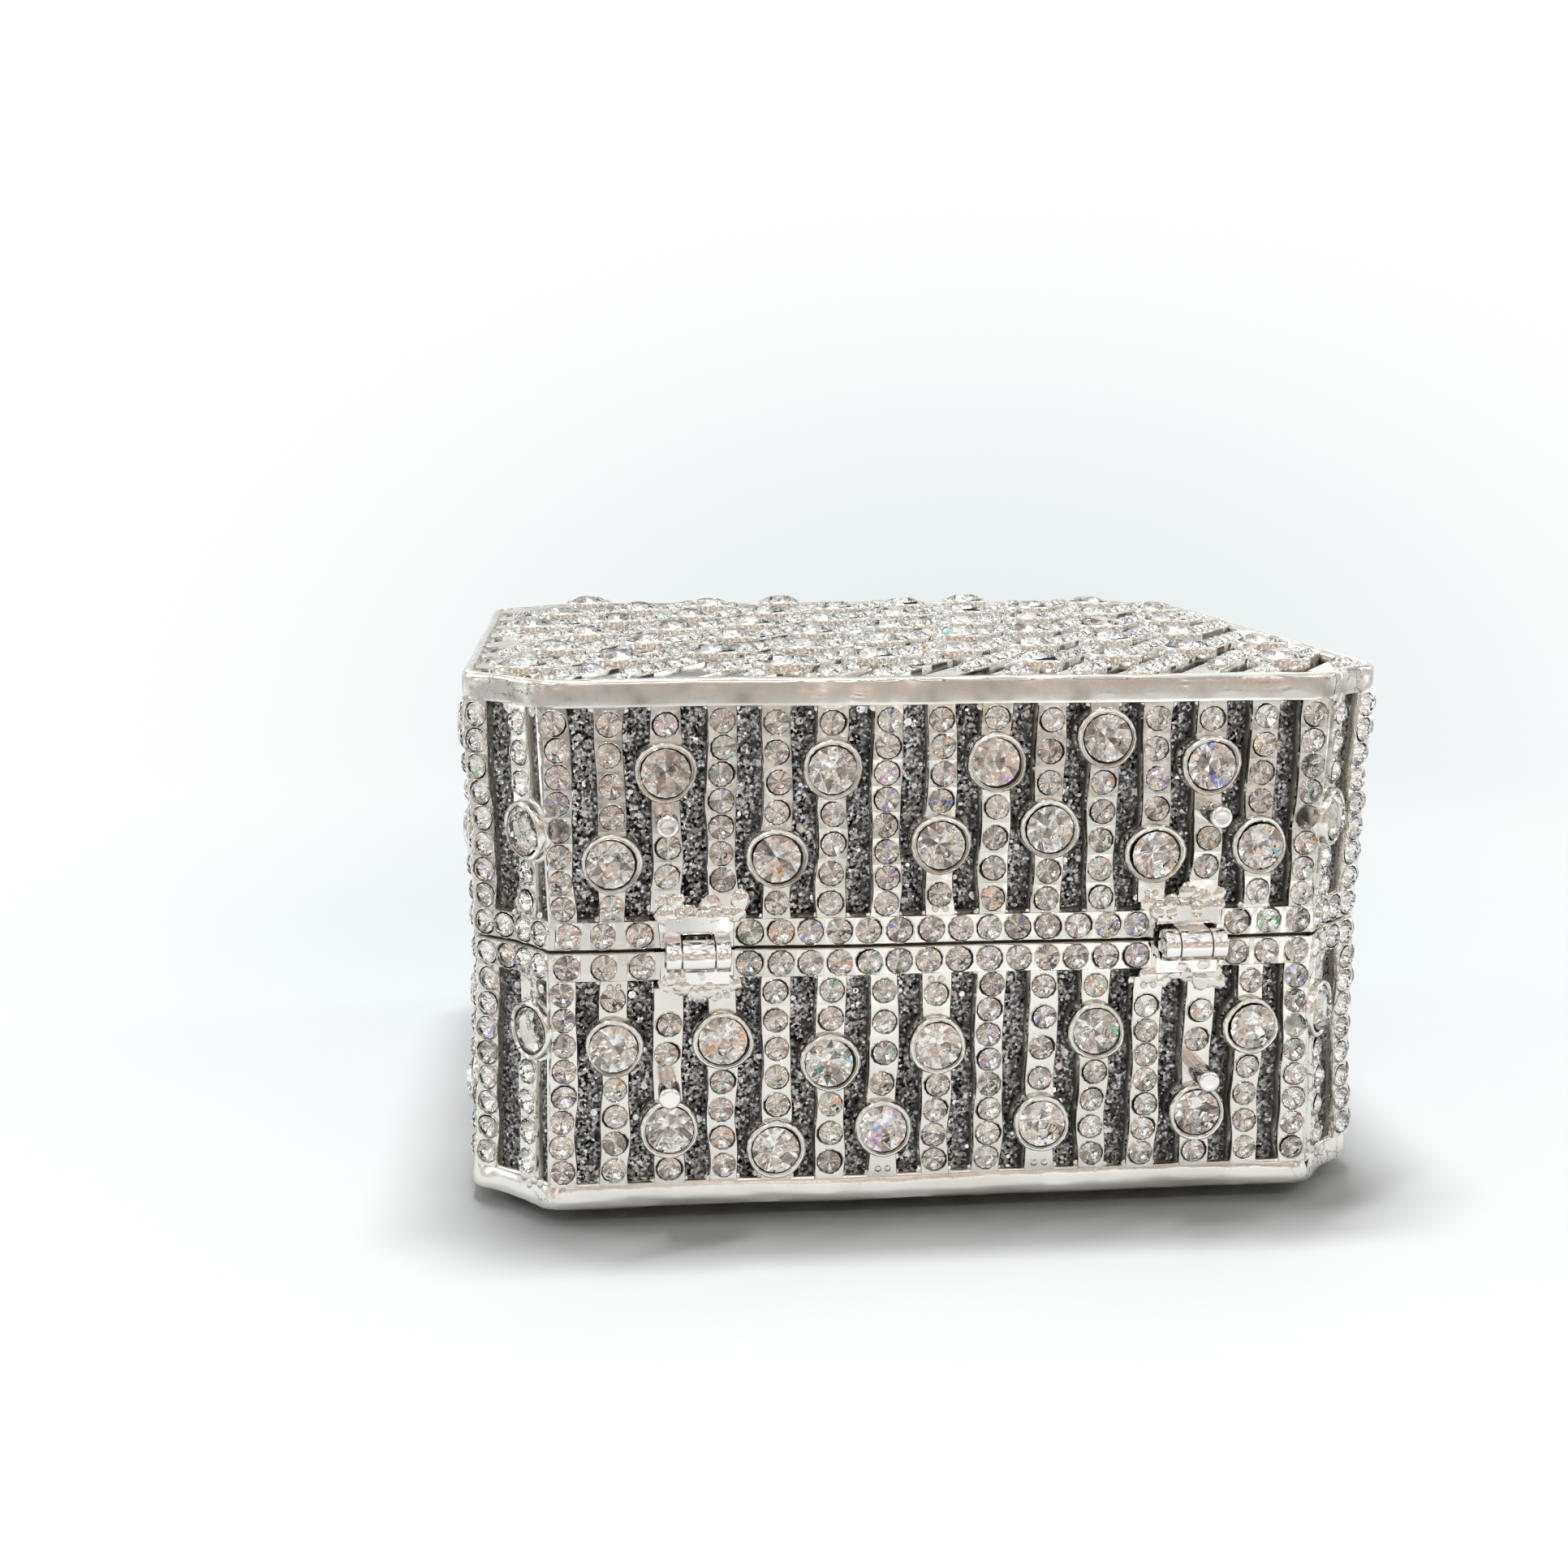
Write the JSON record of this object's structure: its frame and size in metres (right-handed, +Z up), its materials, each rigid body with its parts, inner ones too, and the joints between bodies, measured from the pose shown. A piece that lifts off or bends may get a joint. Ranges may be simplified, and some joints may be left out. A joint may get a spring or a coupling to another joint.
{
  "type": "hard evening clutch",
  "caption": "Hinged two-shell evening clutch of cast metal openwork set with round stones, with a push-button clasp.",
  "frame": {"origin": "on the ground, under the middle of the clutch's outer box with its pegs and its button", "axes": "+Z up from the broad face it lies on; +X along the hinge axis to the right seen from the hinge face; +Y from the hinge face to the clasp"},
  "size_m": [0.1056, 0.0978, 0.0618],
  "materials": {
    "cast_metal": "bright silver plate on a slightly uneven casting",
    "polished_fittings": "polished silver plate",
    "crystal": "clear faceted glass on a silver foil",
    "glitter_sheet": "charcoal cloth covered with silver and black glitter flakes",
    "tray_lining": "thin moulded tray with a short charcoal flock",
    "steel": "drawn wire"
  },
  "bodies": {
    "base": {"base_bottom_grille": "cast_metal", "base_front_wall": "cast_metal", "base_rear_wall": "cast_metal", "base_left_wall": "cast_metal", "base_right_wall": "cast_metal", "base_front_left_corner": "cast_metal", "base_front_right_corner": "cast_metal", "base_rear_left_corner": "cast_metal", "base_rear_right_corner": "cast_metal", "base_floor_glitter_sheet": "glitter_sheet", "base_wall_glitter_sheet": "glitter_sheet", "base_inner_tray": "tray_lining", "base_front_large_stones": "crystal", "base_rear_large_stones": "crystal", "base_side_large_stones": "crystal", "base_bottom_large_stones": "crystal", "base_front_small_stones": "crystal", "base_rear_small_stones": "crystal", "base_side_small_stones": "crystal", "base_bottom_small_stones": "crystal", "base_corner_stones": "crystal", "base_seam_stones": "crystal", "base_standing_pegs": "polished_fittings", "left_hinge_base_leaf": "polished_fittings", "right_hinge_base_leaf": "polished_fittings", "left_hinge_pin": "steel", "right_hinge_pin": "steel", "clasp_housing": "polished_fittings", "clasp_spring": "steel"},
    "button": {"clasp_button": "polished_fittings", "clasp_pawl": "polished_fittings", "clasp_button_stone": "crystal"},
    "lid": {"lid_top_grille": "cast_metal", "lid_front_wall": "cast_metal", "lid_rear_wall": "cast_metal", "lid_left_wall": "cast_metal", "lid_right_wall": "cast_metal", "lid_front_left_corner": "cast_metal", "lid_front_right_corner": "cast_metal", "lid_rear_left_corner": "cast_metal", "lid_rear_right_corner": "cast_metal", "lid_top_glitter_sheet": "glitter_sheet", "lid_wall_glitter_sheet": "glitter_sheet", "lid_inner_tray": "tray_lining", "lid_front_large_stones": "crystal", "lid_rear_large_stones": "crystal", "lid_side_large_stones": "crystal", "lid_top_large_stones": "crystal", "lid_front_small_stones": "crystal", "lid_rear_small_stones": "crystal", "lid_side_small_stones": "crystal", "lid_top_small_stones": "crystal", "lid_corner_stones": "crystal", "lid_seam_stones": "crystal", "lid_standing_pegs": "polished_fittings", "left_hinge_lid_leaf": "polished_fittings", "right_hinge_lid_leaf": "polished_fittings", "clasp_catch": "polished_fittings"}
  },
  "joints": [
    {"name": "lid_hinge", "type": "hinge", "parent": "base", "child": "lid", "pos_m": [0, -0.04684, 0.031], "axis": [1, 0, 0], "range_deg": [0, 110]},
    {"name": "button_press", "type": "slide", "parent": "base", "child": "button", "axis": [0, -1, 0], "range_m": [0, 0.0012], "stiffness_N_per_m": 400, "springref_m": -0.0008, "deforming": ["clasp_spring"]}
  ]
}
